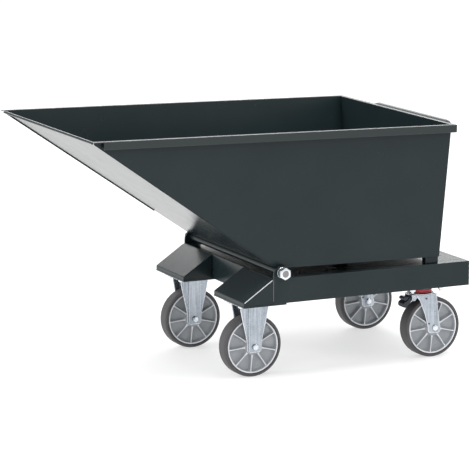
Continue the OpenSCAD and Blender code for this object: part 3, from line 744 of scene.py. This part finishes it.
for side, sign in SIDES:
    wheel_at = JOINT[f"rear_wheel_{side}_spin"]
    swivel = JOINT[f"castor_{side}_swivel"]
    head_at = Vector((swivel.x, swivel.y, 0.0))
    fork_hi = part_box(f"swivel_fork_{side}")[1]
    seal_lo, seal_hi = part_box(f"seal_ring_{side}")
    head_top, head_low = fork_hi.z / MM, fork_hi.z / MM - 5.0
    legs, trim = Shape(), Shape()
    fork_leg(legs, trim, -1)
    fork_leg(legs, trim, 1)
    # bright zinc edge trims: painted highlight
    trim.make(f"swivel_fork_{side}_edge_highlights", wheel_at, f"castor_{side}", "zinc_plate", (f"swivel_fork_{side}",),
              material=BRIGHT)
    legs.make(f"swivel_fork_{side}_legs", wheel_at, f"castor_{side}", "zinc_plate", (f"swivel_fork_{side}",),
              bevel=(0.7, 2))
    head = Shape().lathe([(6.2, head_top), (37.0, head_top), (40.6, head_top - 0.5), (42.6, head_top - 1.8),
                          (43.4, head_top - 3.6), (42.4, head_low - 0.6), (40.0, head_low - 1.6),
                          (6.2, head_low - 1.6)], 96, axis="Z")
    web = [(-29, -34), (-20, -34), (30, -34), (42.5, -30), (42.5, 30), (30, 34), (-20, 34), (-29, 34),
           (-36, 26), (-44, 24), (-44, -24), (-36, -26)]
    head.prism(web, head_low - 3.0, head_low + 1.0, "Z")
    for end in (-1, 1):
        lug = [(-44, head_low - 16), (-40, head_low - 19), (-32, head_low - 19), (-28, head_low - 14),
               (-20, head_low - 1), (-44, head_low - 1)]
        low, high = sorted((end * 21.2, end * 24.8))
        head.prism(lug, low, high)
    lip = Shape()
    for level, radius in ((head_top - 1.4, 42.3), (head_low - 0.4, 42.7)):
        turn = [(radius + 1.1 * math.cos(math.radians(a)), level + 1.1 * math.sin(math.radians(a)))
                for a in range(0, 360, 30)]
        lip.lathe(turn, 96, axis="Z")
    lip.make(f"swivel_fork_{side}_lip", head_at, f"castor_{side}", "zinc_plate", (f"swivel_fork_{side}",),
             material=BRIGHT)
    # painted shade: dark discs set into the legs where the holes are
    hole_shades = Shape()
    for face in (-1, 1):
        y = face * (LEG_OUT + 0.3)
        for x, z, r in ((-19.4, 14.5, 2.7), (1.0, 54.6, 1.7), (-30.5, 99.0, 2.7)):
            back = y - face * 3.0
            hole_shades.lathe([(0.01, y), (r, y), (r, back), (0.01, back)], 24, (x, 0, z), closed=False)
    hole_shades.make(f"swivel_fork_{side}_holes", wheel_at, f"castor_{side}", "zinc_plate",
               (f"swivel_fork_{side}",), material=BUSH)
    head.make(f"swivel_fork_{side}_head", head_at, f"castor_{side}", "zinc_plate", (f"swivel_fork_{side}",),
              bevel=(0.6, 2))
    low, high = seal_lo.z / MM, seal_hi.z / MM
    seal_section = [(9.0, low + 0.2), (33.0, low + 0.2), (33.0, low + 2.8), (37.0, low + 3.0),
                    (37.9, low + 3.8), (37.4, low + 5.4), (36.4, low + 6.6), (36.9, low + 8.0),
                    (37.8, low + 9.4), (37.6, high - 1.4), (36.6, high - 0.3), (9.0, high - 0.3)]
    seal = Shape().lathe(seal_section, 96, axis="Z")
    seal.make(f"seal_ring_{side}_moulding", head_at, f"castor_{side}", "seal_red", (f"seal_ring_{side}",),
              sharp=50)
    plate_lo, plate_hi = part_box(f"swivel_plate_{side}")
    top = plate_hi.z / MM
    plate = Shape().prism(rounded_outline(*PLATE_HALF, 9), top - PLATE_T, top, "Z")
    race_low = plate_lo.z / MM
    race = [(6.0, top - 3.0), (40.0, top - 3.6), (40.0, top - 6.5), (39.2, race_low + 1.6),
            (37.6, race_low), (6.0, race_low)]
    plate.lathe(race, 96, axis="Z")
    plate.make(f"swivel_plate_{side}_pressing", head_at, "chassis", "zinc_plate", (f"swivel_plate_{side}",),
               bevel=(0.7, 2))
    axle("rear", side, wheel_at, f"castor_{side}", LEG_OUT)

    # brake: a rocker with a lower tread and an upper release pad, on its pin
    pin = JOINT[f"brake_{side}_press"]
    tread = [(-1, 5.6), (-7, 5.0), (-13, 1.5), (-19, -5.0), (-24.5, -9.5), (-31.5, -12.5), (-35.8, -17.0),
             (-37.0, -23.0), (-35.2, -28.6), (-31.0, -31.8), (-26.0, -31.4), (-21.5, -28.2), (-15.0, -20.5),
             (-8.0, -12.0), (-2.0, -7.0), (3.5, -4.6), (5.8, 0.0), (3.4, 4.6)]
    pedal = Shape().prism(tread, -19.0, 19.0)
    release = [(-12.0, 1.5), (-20.0, 3.6), (-28.5, 4.4), (-33.5, 2.0), (-35.0, -2.6), (-32.6, -7.0),
               (-27.0, -9.4), (-19.0, -7.0)]
    pedal.prism(release, -16.0, 16.0)
    grip = [(-35.4, -16.5), (-37.8, -20.5), (-37.6, -26.5), (-34.8, -30.6), (-31.8, -31.6),
            (-33.6, -26.0)]
    for rib_y in (-12.0, -4.0, 4.0, 12.0):
        pedal.prism(grip, rib_y - 1.2, rib_y + 1.2)
    rod = [(0.01, -25.0), (3.6, -25.0), (4.0, -24.6), (4.0, 24.6), (3.6, 25.0), (0.01, 25.0)]
    pin_rod = Shape().lathe(rod, 40)
    pin_rod.make(f"brake_pedal_{side}_pin", pin, f"brake_{side}", "zinc_plate", (f"brake_pedal_{side}",),
                 material=ZINC)
    pedal.make(f"brake_pedal_{side}_rocker", pin, f"brake_{side}", "brake_black", (f"brake_pedal_{side}",),
               bevel=(1.6, 3))

# plate bolts: studs with chamfered nuts below and heads above
for prefix, joint_key in (("front", "front_wheel_{}_spin"), ("rear", "castor_{}_swivel")):
    low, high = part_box(f"{prefix}_plate_bolts")
    bolts = Shape()
    top, nut_top = CASTOR_TOP, CASTOR_TOP - PLATE_T
    deep = 3.0 if prefix == "rear" else 0.0
    end, under_head = low.z / MM - 2 * deep, high.z / MM - 6
    nut_low = nut_top - 8.0 - deep
    collar = [(10.4, nut_top), (10.4, nut_top - 1.4), (5.0, nut_top - 1.4), (5.0, nut_top)]
    stud = [(0.01, end), (4.2, end), (5.0, end + 0.8), (5.0, under_head), (0.01, under_head)]
    for side, _ in SIDES:
        at = JOINT[joint_key.format(side)] / MM
        for dx in (-STUD_X, STUD_X):
            for dy in (-STUD_Y, STUD_Y):
                spot = (at.x + dx, at.y + dy, 0.0)
                bolts.lathe(collar, 40, spot, "Z")
                bolts.hexagon(16.0, nut_top - 1.4, nut_low, hole=5.0, centre=spot, axis="Z", both=True)
                bolts.lathe(stud, 32, spot, "Z", closed=False)
                bolts.hexagon(16.0, top + 5.0, high.z / MM, centre=spot, axis="Z")
    bolts.make(f"{prefix}_plate_bolt_set", ORIGIN, "chassis", "zinc_plate", (f"{prefix}_plate_bolts",),
               sharp=30, material=BRIGHT)

# ---------------------------------------------------------------- stage, light, camera

floor_mesh = bpy.data.meshes.new("floor")
reach = 40.0
corners = [(-reach, -reach, 0), (reach, -reach, 0), (reach, reach, 0), (-reach, reach, 0)]
floor_mesh.from_pydata(corners, [], [(0, 1, 2, 3)])
floor = bpy.data.objects.new("floor", floor_mesh)
bpy.context.scene.collection.objects.link(floor)
pale, tree, shader, coords = new_material("pale_floor")
shade = noise(tree, coords, 0.6, 2.0)
tone = ramp(tree, shade, [(0.2, (0.46, 0.46, 0.46)), (0.8, (0.50, 0.50, 0.50))])
tree.links.new(tone, shader.inputs["Base Color"])
shader.inputs["Emission Color"].default_value = (1.0, 1.0, 1.0, 1.0)
shader.inputs["Emission Strength"].default_value = 0.56
shader.inputs["Roughness"].default_value = 0.8
shader.inputs["Specular IOR Level"].default_value = 0.2
floor_mesh.materials.append(pale)

world = bpy.data.worlds.new("studio")
world.use_nodes = True
world.node_tree.nodes["Background"].inputs["Color"].default_value = (1.0, 1.0, 1.0, 1.0)
world.node_tree.nodes["Background"].inputs["Strength"].default_value = 0.9
bpy.context.scene.world = world


def softbox(name, at, aim, size, watts):
    """A rectangular area light at one point, aimed at another."""
    lamp = bpy.data.lights.new(name, "AREA")
    lamp.shape, lamp.size, lamp.size_y = "RECTANGLE", size[0], size[1]
    lamp.energy = watts
    holder = bpy.data.objects.new(name, lamp)
    holder.location = at
    holder.rotation_euler = (Vector(aim) - Vector(at)).to_track_quat("-Z", "Y").to_euler()
    bpy.context.scene.collection.objects.link(holder)


softbox("key", (-2.9, -3.2, 3.4), (0, 0, 0.4), (0.8, 0.8), 26.0)
softbox("side", (2.6, -2.6, 2.4), (0.2, 0, 0.4), (0.7, 0.7), 8.0)
softbox("front", (-3.9, 1.2, 2.9), (0.5, 0, 0.7), (1.0, 1.0), 70.0)
softbox("top", (0.45, -0.8, 3.5), (0.3, 0.2, 0.6), (2.0, 1.8), 88.0)
softbox("back", (3.2, 6.0, 3.45), (0.2, 0, 0.8), (7.0, 2.2), 215.0)

FOCAL_MM = 203.78
EYE_FROM_AXLE = (-3.585, -7.679, 2.001)
LOOK_DOWN, LOOK_RIGHT = 10.59, 25.37
camera = bpy.data.cameras.new("photo_view")
camera.sensor_width = 36.0
camera.lens = FOCAL_MM
camera.clip_end = 200.0
eye = bpy.data.objects.new("photo_view", camera)
eye.location = Vector((JOINT["front_wheel_left_spin"].x, 0.0, 0.0)) + Vector(EYE_FROM_AXLE)
eye.rotation_euler = Euler((math.radians(90.0 - LOOK_DOWN), 0.0, math.radians(-LOOK_RIGHT)), "XYZ")
bpy.context.scene.collection.objects.link(eye)
bpy.context.scene.camera = eye
bpy.context.scene.view_settings.view_transform = "Standard"
bpy.context.scene.view_settings.look = "None"
